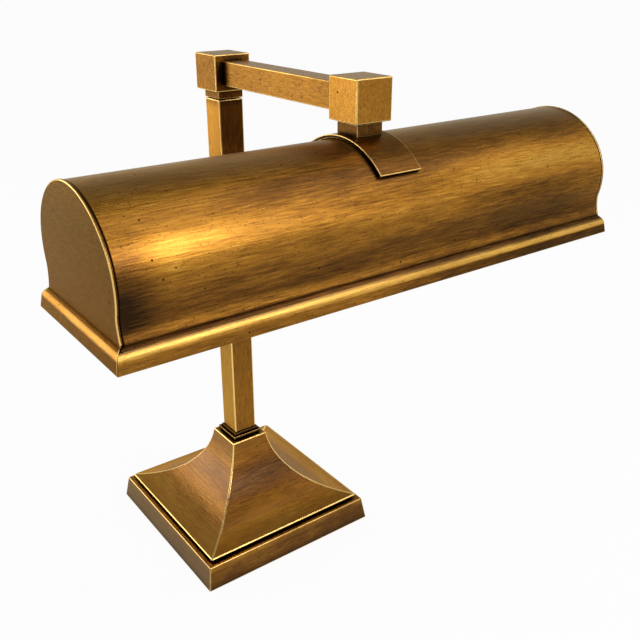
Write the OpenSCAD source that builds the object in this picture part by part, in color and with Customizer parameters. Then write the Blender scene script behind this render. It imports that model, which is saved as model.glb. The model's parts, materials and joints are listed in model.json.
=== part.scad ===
// Swing-arm library lamp: square pagoda base, square post and arm, and an ogee shade that tilts in a saddle.
// Millimetres. Origin at the centre of the base's underside, +Z up, the arm reaching towards -Y at rest.

/* [Base] */
// Width of the plinth at the foot of its sloping sides
base_w = 152; // [140:1:180]
// Width of the plinth at the top of its sloping sides
plinth_top_w = 146; // [142:0.5:150]
// Height of the plinth's sloping sides
plinth_h = 19; // [15:0.5:24]
// Thickness of the plinth's walls
plinth_wall = 3; // [2:0.25:4]
// Thickness of the plinth's deck
deck_t = 3; // [2:0.25:4]
// Width of the felt pad
felt_w = 144; // [132:1:148]
// Thickness of the felt pad
felt_t = 1.2; // [0.8:0.1:2.5]
// Width of the cast weight
weight_w = 124; // [100:1:126]
// Width of the riser behind the shadow groove
riser_w = 133; // [131:0.5:136]
// Height of the shadow groove
groove_h = 2.2; // [1.5:0.1:6]

/* [Pagoda cover] */
// Width of the cover at its foot
pagoda_foot_w = 138.5; // [137.5:0.5:142]
// Width of the cover at its top
pagoda_top_w = 31.5; // [28:0.5:36]
// Height of the upright edge round the foot
foot_edge_h = 1.6; // [1:0.1:3]
// Rise of the concave sides
pagoda_rise = 54.3; // [46:0.1:60]
// Radius of the concave sides
pagoda_r = 62.5; // [58:0.5:80]
// Thickness of the cover's walls
pagoda_wall = 2.5; // [1.5:0.25:3]
// Thickness of the cover's flat top
pagoda_top_t = 3.5; // [2.5:0.25:5]

/* [Collar] */
// Width of the collar's lower recess
collar_recess_w = 23; // [21:0.5:25]
// Height of the collar's lower recess
collar_recess_h = 1.8; // [1:0.1:3]
// Width of the collar's plate
collar_plate_w = 25.5; // [24:0.5:29]
// Thickness of the collar's plate
collar_plate_h = 1.6; // [1:0.1:3]
// Width of the collar's upper step
collar_step_w = 21.5; // [20:0.5:24]
// Height of the collar's upper step
collar_step_h = 2; // [1:0.1:4]

/* [Post] */
// Width of the square post
post_w = 19; // [18.5:0.25:21]
// Wall of the square post
post_wall = 1.5; // [1:0.1:1.6]
// Length of the post
post_len = 265.6; // [200:0.2:340]
// Length of the plug in the post's foot
foot_plug_len = 14; // [8:1:30]
// Length of the bush in the post's top
top_bush_len = 14; // [8:1:30]

/* [Nipple] */
// Outside diameter of the hollow nipple that clamps the base
nipple_d = 10; // [8:0.5:11]
// Bore of the nipple
nipple_bore = 6.5; // [5:0.25:7]
// Width across the flats of the clamp nut
nipple_nut_af = 16; // [14:0.5:18]
// Height of the clamp nut
nipple_nut_h = 5; // [3:0.5:6]
// Diameter of the clamp washer
nipple_washer_d = 26; // [20:1:30]
// Thickness of the clamp washer
nipple_washer_t = 1.5; // [1:0.25:2]

/* [Swivels] */
// Outside diameter of the swing stud and the shade stud
stud_d = 8; // [7:0.25:8.5]
// Bore of the studs
stud_bore = 5; // [4:0.25:5.5]
// Width across the flats of the lock nuts
lock_nut_af = 13; // [11:0.25:13.25]
// Height of the lock nuts
lock_nut_h = 6; // [4:0.5:8]
// Diameter of the spring washers
spring_washer_d = 14; // [12:0.25:14.5]
// Thickness of the spring washers
spring_washer_t = 1.2; // [0.8:0.1:2]
// Thickness of the glide washers
glide_t = 0.6; // [0.4:0.1:1.2]
// Diameter of the glide washers
glide_d = 16; // [15:0.25:16.5]
// Diameter of the swing stop pin
stop_pin_d = 2; // [1.6:0.1:2]
// Distance of the stop pin from the swing axis
stop_pin_r = 6; // [5.9:0.05:6.2]
// Swing of the arm each way, in degrees
swing_deg = 150; // [90:5:155]

/* [Arm] */
// Reach of the arm from the post's axis to the shade's axis
arm_reach = 150; // [120:1:190]
// Width of the square arm
arm_w = 16; // [14:0.25:17]
// Wall of the square arm
arm_wall = 1.5; // [1:0.1:2]
// Depth of the sockets that hold the arm
socket_depth = 7; // [5:0.25:8]
// Width of the rear block
rear_block_w = 27; // [26:0.25:30]
// Width of the front block
front_block_w = 25; // [25:0.25:30]
// Height of the blocks
block_h = 24; // [21:0.5:28]
// Eased edges of the blocks
block_ease = 0.5; // [0.3:0.1:1]
// Height of the rear neck
rear_neck_h = 5.3; // [4:0.1:9]
// Width of the front neck
front_neck_w = 18; // [17:0.25:19]
// Height of the front neck over the crest of the strap
front_neck_h = 6.2; // [4:0.1:12]
// Diameter of the grub screws
grub_d = 3; // [2:0.25:3]
// Diameter of the flexes inside the post and the arm
flex_d = 4.4; // [3:0.1:4.4]

/* [Shade] */
// Outside radius of the crown, about the tilt axis
crown_r = 47; // [44:0.5:52]
// Radius of the side arcs under the crown
side_r = 36; // [30:0.5:40]
// Radius of the reverse arcs that draw the sides in to the waist
reverse_r = 9; // [6:0.5:14]
// Radius of the coves between the waist and the rim
cove_r = 33.5; // [28:0.5:38]
// Reach and drop of the slanting top of the rim
rim_flare = 3.2; // [2:0.1:5]
// Height of the rim's band
rim_band_h = 8.4; // [5:0.1:12]
// Lean of the rim's band
rim_lean = 1.3; // [0:0.1:3]
// Thickness of the shade's sheet
sheet_t = 1.5; // [1:0.1:2]
// Length of the shade over its end caps, above the rim
shade_len = 340.4; // [300:0.2:420]
// Thickness of the end caps
cap_t = 1.5; // [1:0.1:2.5]
// How far the edge of an end cap stands proud of the shell
cap_lip = 0.5; // [0.2:0.1:1]

/* [Saddle] */
// Length of the strap and the clamp plate along the shade
strap_len = 29; // [24:0.5:40]
// Half angle of the strap from the vertical, in degrees
strap_deg = 47; // [40:1:50]
// Thickness of the strap
strap_t = 2.2; // [1.5:0.1:3]
// Half angle of the clamp plate from the vertical, in degrees
clamp_deg = 20; // [18:1:24]
// Thickness of the clamp plate
clamp_t = 2; // [1.5:0.1:3]
// Depth of the clamp plate's flat boss below the plate
clamp_boss_h = 1.4; // [1.2:0.1:3]
// Tilt of the shade each way, in degrees
tilt_deg = 18; // [10:1:20]

/* [Lamps and switch] */
// Thickness of the lampholder bracket's plate
bracket_t = 2; // [1:0.25:2.5]
// Width of the lampholder bracket
bracket_w = 24; // [22:0.5:26]
// Height of the bracket's web above the tilt axis
web_rise = 19; // [18:0.5:22]
// Distance of the bracket's welded legs from the middle
leg_x = 50; // [46:1:70]
// Length of the bracket's welded feet
foot_len = 14; // [8:1:20]
// Distance of the lampholder tabs from the middle
tab_x = 17; // [16:0.5:22]
// Drop of the lampholder tabs below the lamp axis
tab_drop = 12; // [9:0.5:14]
// Diameter of a lampholder
holder_d = 26; // [24:0.5:28]
// Length of a lampholder
holder_len = 38; // [34:1:46]
// Diameter of a lampholder's mouth ring
holder_ring_d = 28; // [27:0.5:30]
// Diameter of a bulb's cap
bulb_cap_d = 14; // [12:0.25:15]
// Length of a bulb's cap
bulb_cap_len = 25; // [20:0.5:28]
// Diameter of a bulb
bulb_d = 25; // [20:0.5:28]
// Length of a bulb's glass
bulb_len = 91; // [70:1:100]
// Thickness of a bulb's glass
glass_t = 0.8; // [0.6:0.1:1.5]
// Diameter of the switch's body
switch_d = 22; // [18:0.5:24]
// Height of the switch's body
switch_h = 14; // [10:0.5:14]
// Diameter of the switch's spindle
spindle_d = 5; // [4:0.25:6]
// Diameter of the switch's knob
knob_d = 16; // [12:0.5:18]
// Height of the switch's knob
knob_h = 18; // [12:0.5:20]
// Number of flutes round the knob
knob_flutes = 16; // [10:1:20]

/* [Cord inlet] */
// Bore of the cord bushing
bushing_bore = 6.4; // [5:0.1:7]
// Diameter of the bushing's neck
bushing_d = 9; // [8:0.1:10]
// Diameter of the bushing's flange
bushing_flange_d = 12; // [11:0.25:13]
// Thickness of the bushing's flange
bushing_flange_t = 1.6; // [1:0.1:2.5]
// Height of the cord inlet above the table
inlet_z = 9.5; // [8:0.25:10.5]

/* [Fits] */
// Radial clearance of a turning fit
run_gap = 0.05; // [0.02:0.01:0.1]
// Clearance of a fixed fit
fit_gap = 0.1; // [0.05:0.01:0.2]
// Gap between the shade's crown and the strap or the clamp plate
saddle_gap = 0.4; // [0.3:0.05:0.6]
// Gap round the shade stud in the shade's slot
slot_gap = 0.6; // [0.4:0.1:1]
// Seam between the shell and its end caps
seam_gap = 0.2; // [0.1:0.05:0.4]

/* [Hidden] */
$fn = 96;

// Colours
BRASS = [0.55, 0.38, 0.14];
DARK_BRASS = [0.36, 0.24, 0.09];
STEEL = [0.62, 0.62, 0.60];
IRON = [0.20, 0.20, 0.20];
BLACK = [0.07, 0.07, 0.07];
FELT = [0.10, 0.16, 0.11];
IVORY = [0.85, 0.82, 0.74];
GLASS = [0.96, 0.94, 0.88];

// Cuts run this far past the faces that they open
past = 1;

// Heights up the base and the post
deck_z = felt_t + plinth_h;
pagoda_z = deck_z + groove_h;
arc_foot_z = pagoda_z + foot_edge_h;
pagoda_top_z = arc_foot_z + pagoda_rise;
post_z = pagoda_top_z + collar_recess_h + collar_plate_h + collar_step_h;
post_top_z = post_z + post_len;
rear_neck_z = post_top_z + glide_t;
block_z = rear_neck_z + rear_neck_h;
arm_z = block_z + block_h / 2;

// Centre of the concave side's arc, from the chord between its foot and its top
chord_run = (pagoda_foot_w - pagoda_top_w) / 2;
chord = norm([chord_run, pagoda_rise]);
arc_sink = sqrt(pagoda_r ^ 2 - (chord / 2) ^ 2);
arc_x = (pagoda_foot_w + pagoda_top_w) / 4 + arc_sink * pagoda_rise / chord;
arc_z = foot_edge_h + pagoda_rise / 2 + arc_sink * chord_run / chord;

// Clamp hardware in the weight's pocket, with the nipple ending flush under the nut
pocket_gap = 1;
pocket_roof_t = 4;
pocket_d = nipple_washer_d + 2 * pocket_gap;
weight_h = deck_z - deck_t - felt_t;
pocket_depth = weight_h - pocket_roof_t;
washer_z = felt_t + pocket_depth - nipple_washer_t;
nut_z = washer_z - nipple_nut_h;
nipple_top_z = post_z + foot_plug_len;

// The swing stud, from the lock nut under the top bush to the rear block
bush_z = post_top_z - top_bush_len;
swing_washer_z = bush_z - spring_washer_t;
swing_nut_z = swing_washer_z - lock_nut_h;
stud_grip = 8;
wire_room = 8;
wire_ease = 1;
stud_tail = 1;
pin_angle = asin(stop_pin_d / 2 / stop_pin_r);
stop_slack_deg = 1;
stop_side_gap = 0.3;
stop_depth = 3;
pin_reach = 2.4;

// The saddle and the shade hang below the front block; the tilt axis is the crown's centre
strap_in_r = crown_r + saddle_gap;
strap_out_r = strap_in_r + strap_t;
neck_top_z = block_z - glide_t;
tilt_z = neck_top_z - front_neck_h - strap_out_r;
crown_in_r = crown_r - sheet_t;
clamp_out_r = crown_in_r - saddle_gap;
clamp_in_r = clamp_out_r - clamp_t;
clamp_boss_z = tilt_z + clamp_in_r - clamp_boss_h;
clamp_boss_margin = 1;
clamp_boss_d = spring_washer_d + 2 * clamp_boss_margin;
shade_washer_z = clamp_boss_z - spring_washer_t;
shade_nut_z = shade_washer_z - lock_nut_h;
slot_half_deg = tilt_deg + asin((stud_d / 2 + slot_gap) / clamp_in_r);

// The shade's section: crown arc, side arc, reverse arc, cove and rim, as centres and angles
// with y outwards from the tilt axis and z up from it; the joints lie along exact unit vectors
crown_end = [0.8, 0.6];
side_end = [0.96, -0.28];
cove_end = [-0.936, -0.352];
top_deg = atan2(crown_end[1], crown_end[0]);
reverse_deg = atan2(-side_end[1], side_end[0]);
cove_deg = atan2(-cove_end[1], -cove_end[0]);
side_c = (crown_r - side_r) * crown_end;
reverse_c = side_c + (side_r + reverse_r) * side_end;
cove_c = reverse_c + [cove_r - reverse_r, 0];
waist_z = reverse_c[1];
crease = cove_c + cove_r * cove_end;
crease_y = crease[0];
crease_z = crease[1];
rim_y = crease_y + rim_flare + rim_lean;
rim_z = crease_z - rim_flare - rim_band_h;
band_deg = atan(rim_lean / rim_band_h);
cap_x = shade_len / 2;
rim_in = 3 * max(sheet_t, cap_t);
rim_out = rim_flare + rim_lean + past;

// Lampholders, bulbs and switch
lamp_z = tilt_z;
holder_x = tab_x + bracket_t + fit_gap;
cap_gap = 0.3;
cap_out = 2;
holder_bore_len = bulb_cap_len - cap_out + cap_gap;
holder_neck_d = 20;
holder_neck_len = 8;
ring_len = 4;
cap_start_x = holder_x + holder_len - bulb_cap_len + cap_out;
glass_x = cap_start_x + bulb_cap_len;
bulb_shoulder = 10;
holder_nipple_d = 8;
holder_nut_h = 3;
nipple_tail = 1;
nipple_in_x = tab_x - holder_nut_h - nipple_tail;
switch_z = tilt_z + web_rise - switch_h;
switch_neck_d = 8;
switch_nut_h = 3;
knob_gap = 3;
knob_z = switch_z - knob_gap - knob_h;
knob_ease = 1;
knob_skirt = 3;
spindle_grip = 10;

// Slope of the plinth's sides, which the cord bushing follows
slope_deg = atan((base_w - plinth_top_w) / 2 / plinth_h);
inlet_y = base_w / 2 - (inlet_z - felt_t) * tan(slope_deg);

// Section helpers

// Miter of two unit normals, for offsetting a corner
function miter(a, b) = (a + b) / (1 + a * b);

// A pie between two angles, large enough to hold a circle of radius r
module pie(r, from, to) {
  steps = ceil((to - from) / 60);
  polygon(concat([[0, 0]], [for (i = [0:steps]) 2 * r * [cos(from + (to - from) * i / steps),
                                                         sin(from + (to - from) * i / steps)]]));
}

// A strip of sheet along an arc
module arc_strip(centre, r_in, r_out, from, to) {
  translate(centre) intersection() {
    difference() {
      circle(r = r_out, $fn = 180);
      circle(r = r_in, $fn = 180);
    }
    pie(r_out, from, to);
  }
}

// A square with rounded corners
module rounded_square(w, r) {
  square([w, w - 2 * r], center = true);
  square([w - 2 * r, w], center = true);
  for (x = [-1, 1], y = [-1, 1]) translate([x, y] * (w / 2 - r)) circle(r = r, $fn = 32);
}

// Turns a section in y and z into a bar along x, centred
module along_x(len) {
  rotate([90, 0, 90]) translate([0, 0, -len / 2]) linear_extrude(len) children();
}

// Turns a section in x and z into a bar along y, centred
module along_y(len) {
  rotate([90, 0, 0]) translate([0, 0, -len / 2]) linear_extrude(len) children();
}

// A four-sided form whose four sides all follow one section
module crossed(w) {
  intersection() {
    along_x(w) children();
    along_y(w) children();
  }
}

// Corners of a rectangle of half sizes a and b with eased corners
function eased(a, b, ease) = [
  [-a, -b + ease], [-a + ease, -b], [a - ease, -b], [a, -b + ease],
  [a, b - ease], [a - ease, b], [-a + ease, b], [-a, b - ease]
];

// A block with eased edges, standing on z = 0
module eased_block(w, h, ease) {
  translate([0, 0, h / 2]) intersection() {
    linear_extrude(h, center = true) polygon(eased(w / 2, w / 2, ease));
    along_x(w) polygon(eased(w / 2, h / 2, ease));
    along_y(w) polygon(eased(w / 2, h / 2, ease));
  }
}

// A square tube standing on z = 0
module square_tube(w, wall, len) {
  corner_r = 0.8;
  linear_extrude(len) difference() {
    rounded_square(w, corner_r);
    square(w - 2 * wall, center = true);
  }
}

// A round piece with a hole, standing on z = 0
module ring(d, bore, h) {
  difference() {
    cylinder(d = d, h = h);
    translate([0, 0, -past]) cylinder(d = bore, h = h + 2 * past);
  }
}

// A hexagon nut standing on z = 0
module hex_nut(af, bore, h) {
  difference() {
    cylinder(d = af / cos(30), h = h, $fn = 6);
    translate([0, 0, -past]) cylinder(d = bore, h = h + 2 * past);
  }
}

// A hole down a vertical axis from z0 to z1
module down_hole(d, z0, z1) {
  translate([0, 0, z0]) cylinder(d = d, h = z1 - z0);
}

// Puts a piece on the shade's axis in plan
module at_shade() {
  translate([0, -arm_reach, 0]) children();
}

// Puts a piece on the tilt axis
module at_tilt() {
  translate([0, -arm_reach, tilt_z]) children();
}

// Turns a piece that stands on z = 0 to point along +X or -X at the lamp axis, starting at distance x
module on_lamp_axis(side, x) {
  translate([side * x, -arm_reach, lamp_z]) rotate([0, side * 90, 0]) children();
}

// Base

module felt_pad() {
  color(FELT) translate([-felt_w / 2, -felt_w / 2, 0]) cube([felt_w, felt_w, felt_t]);
}

// Section of the plinth's sloping sides, drawn in by a wall
module plinth_section(inset, h) {
  foot = base_w / 2 - inset;
  top = foot - h * tan(slope_deg);
  polygon([[-foot, 0], [foot, 0], [top, h], [-top, h]]);
}

module plinth() {
  hollow_h = plinth_h - deck_t;
  riser_in_w = riser_w - 2 * plinth_wall;
  color(DARK_BRASS) difference() {
    union() {
      translate([0, 0, felt_t]) crossed(base_w) plinth_section(0, plinth_h);
      translate([-riser_w / 2, -riser_w / 2, deck_z - past]) cube([riser_w, riser_w, groove_h + past]);
    }
    translate([0, 0, felt_t]) crossed(base_w) plinth_section(plinth_wall, hollow_h);
    translate([-riser_in_w / 2, -riser_in_w / 2, deck_z]) cube([riser_in_w, riser_in_w, groove_h + past]);
    down_hole(nipple_d + 2 * fit_gap, 0, deck_z + past);
    at_inlet() translate([0, 0, -plinth_wall - bushing_d])
      cylinder(d = bushing_d + 2 * fit_gap, h = plinth_wall + 2 * bushing_d);
  }
}

// Turns a piece that stands on z = 0 to point out of the rear side, square to its slope
module at_inlet() {
  translate([0, inlet_y, inlet_z]) rotate([slope_deg - 90, 0, 0]) children();
}

module base_weight() {
  channel_w = bushing_d;
  channel_h = inlet_z + bushing_d / 2 - felt_t;
  color(IRON) difference() {
    translate([-weight_w / 2, -weight_w / 2, felt_t]) cube([weight_w, weight_w, weight_h]);
    translate([0, 0, felt_t - past]) cylinder(d = pocket_d, h = pocket_depth + past);
    down_hole(nipple_d + 2 * fit_gap, 0, deck_z);
    translate([-channel_w / 2, 0, felt_t - past]) cube([channel_w, weight_w, channel_h + past]);
  }
}

module clamp_washer() {
  color(STEEL) translate([0, 0, washer_z]) ring(nipple_washer_d, nipple_d + 2 * fit_gap, nipple_washer_t);
}

module clamp_nut() {
  color(STEEL) translate([0, 0, nut_z]) hex_nut(nipple_nut_af, nipple_d + 2 * fit_gap, nipple_nut_h);
}

module base_nipple() {
  color(STEEL) translate([0, 0, nut_z]) ring(nipple_d, nipple_bore, nipple_top_z - nut_z);
}

module cord_bushing() {
  color(BLACK) at_inlet() difference() {
    union() {
      translate([0, 0, -plinth_wall]) cylinder(d = bushing_d, h = plinth_wall + fit_gap);
      translate([0, 0, fit_gap]) cylinder(d = bushing_flange_d, h = bushing_flange_t);
    }
    down_hole(bushing_bore, -plinth_wall - past, bushing_flange_t + 2 * past);
  }
}

// Section of the concave sides, thinned by a wall and cut at a height
module pagoda_section(wall, h) {
  difference() {
    translate([-pagoda_foot_w / 2, 0]) square([pagoda_foot_w, h]);
    for (side = [-1, 1]) translate([side * arc_x, arc_z]) circle(r = pagoda_r + wall, $fn = 180);
  }
}

module pagoda_cover() {
  full_h = foot_edge_h + pagoda_rise;
  color(BRASS) difference() {
    translate([0, 0, pagoda_z]) crossed(pagoda_foot_w) pagoda_section(0, full_h);
    translate([0, 0, pagoda_z]) crossed(pagoda_foot_w) pagoda_section(pagoda_wall, full_h - pagoda_top_t);
    down_hole(nipple_d + 2 * fit_gap, pagoda_z, pagoda_top_z + past);
  }
}

module collar() {
  plate_z = pagoda_top_z + collar_recess_h;
  step_z = plate_z + collar_plate_h;
  color(DARK_BRASS) difference() {
    union() {
      translate([0, 0, (pagoda_top_z + step_z) / 2])
        cube([collar_recess_w, collar_recess_w, step_z - pagoda_top_z], center = true);
      translate([0, 0, plate_z + collar_plate_h / 2])
        cube([collar_plate_w, collar_plate_w, collar_plate_h], center = true);
      translate([0, 0, (plate_z + post_z) / 2])
        cube([collar_step_w, collar_step_w, post_z - plate_z], center = true);
    }
    down_hole(nipple_d + 2 * fit_gap, pagoda_top_z - past, post_z + past);
  }
}

module post_tube() {
  color(BRASS) translate([0, 0, post_z]) square_tube(post_w, post_wall, post_len);
}

// A square plug that fills the post's bore
module post_plug(z, len, bore) {
  plug_w = post_w - 2 * post_wall - 2 * fit_gap;
  difference() {
    translate([-plug_w / 2, -plug_w / 2, z]) cube([plug_w, plug_w, len]);
    down_hole(bore, z - past, z + len + past);
  }
}

module post_foot_plug() {
  color(STEEL) post_plug(post_z, foot_plug_len, nipple_d + 2 * fit_gap);
}

module post_top_bush() {
  color(STEEL) difference() {
    post_plug(bush_z, top_bush_len, stud_d + 2 * run_gap);
    at_stop_pin() down_hole(stop_pin_d + 2 * run_gap, post_top_z - stop_depth * 2, post_top_z + past);
  }
}

// The stop pin stands behind the swing axis
module at_stop_pin() {
  translate([0, stop_pin_r, 0]) children();
}

module swing_stop_pin() {
  color(STEEL) at_stop_pin() down_hole(stop_pin_d, post_top_z - stop_depth * 2, rear_neck_z + pin_reach);
}

module swing_glide() {
  color(IVORY) difference() {
    translate([0, 0, post_top_z]) ring(glide_d, stud_d + 2 * run_gap, glide_t);
    at_stop_pin() down_hole(stop_pin_d + 2 * run_gap, post_top_z - past, rear_neck_z + past);
  }
}

// The flex rises out of the nipple's mouth and ends inside the swing stud
module post_flex() {
  color(BLACK) down_hole(flex_d, nut_z, bush_z);
}

// Arm

// The neck's underside has an arc groove that runs over the stop pin
module rear_neck() {
  groove_w = stop_pin_d + 2 * stop_side_gap;
  groove_deg = 2 * (swing_deg + pin_angle + stop_slack_deg);
  color(DARK_BRASS) difference() {
    translate([0, 0, rear_neck_z]) linear_extrude(rear_neck_h) square(post_w, center = true);
    down_hole(stud_d + 2 * run_gap, rear_neck_z - past, block_z + past);
    translate([0, 0, rear_neck_z]) rotate([0, 0, 90 - groove_deg / 2])
      rotate_extrude(angle = groove_deg)
        translate([stop_pin_r - groove_w / 2, -past]) square([groove_w, stop_depth + past]);
  }
}

// A block at an end of the arm: a stud hole from below, a socket for the arm and a wire way between them
module arm_block(w, toward) {
  socket_w = arm_w + 2 * fit_gap;
  wire_d = stud_bore + 2 * wire_ease;
  difference() {
    translate([0, 0, block_z]) eased_block(w, block_h, block_ease);
    down_hole(stud_d + 2 * run_gap, block_z - past, block_z + stud_grip + wire_room);
    translate([0, toward * (w / 2 - socket_depth / 2 + past / 2), arm_z])
      cube([socket_w, socket_depth + past, socket_w], center = true);
    translate([0, 0, arm_z]) rotate([-toward * 90, 0, 0]) cylinder(d = wire_d, h = w / 2);
    at_grub(w, toward) down_hole(grub_d + 2 * run_gap, block_z - past, arm_z);
  }
}

// Puts a grub screw in the middle of the strip between a neck and the block's face
module at_grub(w, toward) {
  neck_w = min(max(post_w, front_neck_w), w - 2 * grub_d);
  translate([0, toward * (w + neck_w) / 4, 0]) children();
}

module rear_block() {
  color(BRASS) arm_block(rear_block_w, -1);
}

module front_block() {
  color(BRASS) at_shade() arm_block(front_block_w, 1);
}

module swing_stud() {
  low_z = swing_nut_z - stud_tail;
  color(STEEL) translate([0, 0, low_z]) ring(stud_d, stud_bore, block_z + stud_grip - low_z);
}

module swing_spring_washer() {
  color(STEEL) translate([0, 0, swing_washer_z]) ring(spring_washer_d, stud_d + 2 * fit_gap, spring_washer_t);
}

module swing_lock_nut() {
  color(STEEL) translate([0, 0, swing_nut_z]) hex_nut(lock_nut_af, stud_d + 2 * fit_gap, lock_nut_h);
}

rear_seat_y = rear_block_w / 2 - socket_depth;
front_seat_y = arm_reach - front_block_w / 2 + socket_depth;

module arm_tube() {
  len = front_seat_y - rear_seat_y - 2 * fit_gap;
  color(BRASS) translate([0, -rear_seat_y - fit_gap, arm_z]) rotate([90, 0, 0])
    square_tube(arm_w, arm_wall, len);
}

// The flex lies on the floor of the arm
module arm_flex() {
  flex_z = arm_z - arm_w / 2 + arm_wall + flex_d / 2 + fit_gap;
  color(BLACK) translate([0, -rear_seat_y - fit_gap, flex_z]) rotate([90, 0, 0])
    cylinder(d = flex_d, h = front_seat_y - rear_seat_y - 2 * fit_gap);
}

// Two grub screws hold the arm in its sockets, from below
module grub_screws() {
  top_z = arm_z - arm_w / 2 - fit_gap;
  color(STEEL) {
    at_grub(rear_block_w, -1) down_hole(grub_d, block_z + block_ease, top_z);
    at_shade() at_grub(front_block_w, 1) down_hole(grub_d, block_z + block_ease, top_z);
  }
}

module shade_stud() {
  low_z = shade_nut_z - stud_tail;
  color(STEEL) at_shade() translate([0, 0, low_z]) ring(stud_d, stud_bore, block_z + stud_grip - low_z);
}

module shade_spring_washer() {
  color(STEEL) at_shade() translate([0, 0, shade_washer_z])
    ring(spring_washer_d, stud_d + 2 * fit_gap, spring_washer_t);
}

module shade_lock_nut() {
  color(STEEL) at_shade() translate([0, 0, shade_nut_z])
    hex_nut(lock_nut_af, stud_d + 2 * fit_gap, lock_nut_h);
}

// Saddle

module shade_glide() {
  color(IVORY) at_shade() translate([0, 0, neck_top_z]) ring(glide_d, stud_d + 2 * run_gap, glide_t);
}

// The neck's foot is hollowed to sit on the strap
module front_neck() {
  foot_z = tilt_z + strap_in_r;
  color(DARK_BRASS) at_shade() difference() {
    translate([-front_neck_w / 2, -front_neck_w / 2, foot_z - front_neck_w / 4])
      cube([front_neck_w, front_neck_w, neck_top_z - foot_z + front_neck_w / 4]);
    translate([0, 0, tilt_z]) along_x(front_neck_w + 2 * past) circle(r = strap_out_r + run_gap, $fn = 180);
    down_hole(stud_d + 2 * run_gap, tilt_z, block_z);
  }
}

module saddle_strap() {
  color(BRASS) at_tilt() difference() {
    along_x(strap_len) arc_strip([0, 0], strap_in_r, strap_out_r, 90 - strap_deg, 90 + strap_deg);
    down_hole(stud_d + 2 * run_gap, 0, strap_out_r + past);
  }
}

module clamp_plate() {
  color(STEEL) at_tilt() difference() {
    union() {
      along_x(strap_len) arc_strip([0, 0], clamp_in_r, clamp_out_r, 90 - clamp_deg, 90 + clamp_deg);
      down_hole(clamp_boss_d, clamp_in_r - clamp_boss_h, clamp_in_r + clamp_t / 2);
    }
    down_hole(stud_d + 2 * run_gap, 0, clamp_out_r + past);
  }
}

// Shade

// The rim's form: a slanting top from a crease at y that turns down into a leaning band
flare_n = -[1, 1] / sqrt(2);
band_n = -[cos(band_deg), sin(band_deg)];

// Section of a rim in sheet t; above_n is the inward normal of the sheet that runs down into the crease
module rim_section(y, t, above_n) {
  root = [y, crease_z];
  shoulder = root + rim_flare * [1, -1];
  lip = shoulder + [rim_lean, -rim_band_h];
  polygon([root, shoulder, lip, lip - [t / cos(band_deg), 0], shoulder + t * miter(flare_n, band_n),
           root + t * miter(above_n, flare_n), root + t * above_n]);
}

// A rim along x at +y, cut along its mitres: a and b are the half length and the half width at the crease
module mitred_rim(a, b, t, above_n) {
  intersection() {
    along_x(2 * (a + rim_out)) rim_section(b, t, above_n);
    translate([0, 0, rim_z - past]) linear_extrude(crease_z - rim_z + 2 * past)
      polygon([[rim_in - a, b - rim_in], [a - rim_in, b - rim_in],
               [a + rim_out, b + rim_out], [-a - rim_out, b + rim_out]]);
  }
}

module shade_shell() {
  len = 2 * (cap_x - cap_t - seam_gap);
  color(BRASS) at_tilt() difference() {
    union() {
      along_x(len) arc_strip([0, 0], crown_in_r, crown_r, top_deg, 180 - top_deg);
      for (side = [0, 1]) mirror([0, side, 0]) {
        along_x(len) arc_strip(side_c, side_r - sheet_t, side_r, -reverse_deg, top_deg);
        along_x(len) arc_strip(reverse_c, reverse_r, reverse_r + sheet_t, 180 - reverse_deg, 180);
        along_x(len) arc_strip(cove_c, cove_r, cove_r + sheet_t, 180, 180 + cove_deg);
        mitred_rim(cap_x - seam_gap, crease_y, sheet_t, cove_end);
      }
    }
    along_x(stud_d + 2 * slot_gap) pie(crown_r, 90 - slot_half_deg, 90 + slot_half_deg);
  }
}

// The shade's outline above the crease, filled in and grown by a lip
module shade_outline(lip) {
  waist_mid = [0, waist_z];
  intersection() {
    circle(r = crown_r + lip, $fn = 180);
    pie(crown_r + lip, top_deg, 180 - top_deg);
  }
  for (side = [0, 1]) mirror([side, 0]) {
    translate(side_c) intersection() {
      circle(r = side_r + lip, $fn = 180);
      pie(side_r + lip, -reverse_deg, top_deg);
    }
    difference() {
      polygon([[0, 0], side_c, reverse_c, waist_mid]);
      translate(reverse_c) circle(r = reverse_r - lip, $fn = 180);
    }
    difference() {
      polygon([waist_mid, cove_c, crease, [0, crease_z]]);
      translate(cove_c) circle(r = cove_r - lip, $fn = 180);
    }
  }
}

// An end cap at +x: a flat plate with a proud edge, and its own length of rim
module end_cap() {
  translate([cap_x - cap_t / 2, 0, 0]) along_x(cap_t) shade_outline(cap_lip);
  rotate([0, 0, -90]) mitred_rim(crease_y, cap_x, cap_t, [-1, 0]);
}

module left_end_cap() {
  color(BRASS) at_tilt() mirror([1, 0, 0]) end_cap();
}

module right_end_cap() {
  color(BRASS) at_tilt() end_cap();
}

// Lamps and switch

// One half of the bracket: half of the web, a leg with its wider welded foot, and a tab for the lampholder
module half_bracket() {
  weld_r = crown_in_r - run_gap;
  foot_deg = asin((bracket_w / 2 + bracket_t) / weld_r);
  translate([0, -bracket_w / 2, web_rise]) cube([leg_x + bracket_t, bracket_w, bracket_t]);
  translate([leg_x + bracket_t / 2, 0, 0]) along_x(bracket_t) intersection() {
    circle(r = weld_r - bracket_t / 2, $fn = 180);
    translate([-bracket_w / 2, web_rise]) square([bracket_w, crown_r]);
  }
  translate([leg_x + foot_len / 2, 0, 0]) along_x(foot_len)
    arc_strip([0, 0], weld_r - bracket_t, weld_r, 90 - foot_deg, 90 + foot_deg);
  translate([tab_x, -bracket_w / 2, -tab_drop]) cube([bracket_t, bracket_w, tab_drop + web_rise + bracket_t]);
}

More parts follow.
